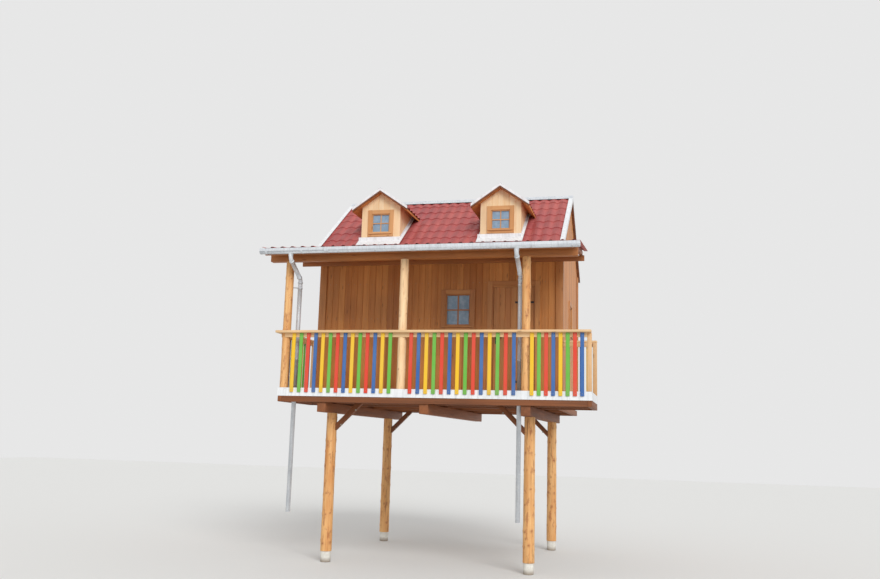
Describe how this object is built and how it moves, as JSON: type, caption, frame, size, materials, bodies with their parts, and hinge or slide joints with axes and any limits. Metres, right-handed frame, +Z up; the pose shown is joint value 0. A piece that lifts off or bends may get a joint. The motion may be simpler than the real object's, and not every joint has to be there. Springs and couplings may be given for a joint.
{
  "type": "tree house on log legs",
  "caption": "Small timber house on peeled log legs, with a gutter-edged veranda roof, a railing of painted boards and two gabled dormers in a red roof.",
  "frame": {"origin": "on the ground, under the middle of the whole outline", "axes": "+X to the right along the veranda, +Y from the veranda to the back wall, +Z up"},
  "size_m": [5.58, 5.313, 6.9261],
  "materials": {
    "peeled_log": "peeled log, orange with darker knots",
    "pale_log": "peeled log, pale cream",
    "dark_timber": "stained dark brown-orange timber",
    "deck_boards": "planed softwood boards",
    "pine_boards": "vertical pine boards, orange-brown oil",
    "planed_pine": "planed pine, oiled",
    "painted_wood": "gloss paint in yellow, green, red and blue, board by board",
    "roof_sheet": "wine red coated metal tile sheet",
    "galvanised": "galvanised sheet steel, pale grey",
    "white_metal": "white coated sheet metal",
    "window_glass": "clear glass"
  },
  "bodies": {
    "root": {"footings": "white_metal", "legs": "peeled_log", "knee_braces": "dark_timber", "bearers": "dark_timber", "floor_joists": "dark_timber", "edge_beams": "dark_timber", "deck": "deck_boards", "deck_fascia": "white_metal", "left_post": "peeled_log", "middle_post": "pale_log", "right_post": "peeled_log", "newels": "planed_pine", "handrails": "planed_pine", "nailing_rails": "planed_pine", "left_bay_balusters": "painted_wood", "right_bay_balusters": "painted_wood", "landing_balusters": "painted_wood", "side_balusters": "painted_wood", "back_balusters": "painted_wood", "front_wall": "pine_boards", "back_wall": "pine_boards", "left_wall": "pine_boards", "right_wall": "pine_boards", "corner_boards": "planed_pine", "window_frames": "planed_pine", "window_glass": "window_glass", "door_frame": "planed_pine", "door": "pine_boards", "loft_floor": "deck_boards", "veranda_beams": "dark_timber", "veranda_rafters": "dark_timber", "eave_board": "dark_timber", "veranda_roof": "roof_sheet", "gutter": "galvanised", "gutter_brackets": "galvanised", "downpipes": "galvanised", "roof_front": "roof_sheet", "roof_back": "roof_sheet", "ridge_cap": "galvanised", "roof_flashings": "white_metal", "left_dormer_walls": "pine_boards", "right_dormer_walls": "pine_boards", "left_dormer_roof": "roof_sheet", "right_dormer_roof": "roof_sheet", "dormer_windows": "planed_pine"}
  },
  "joints": []
}
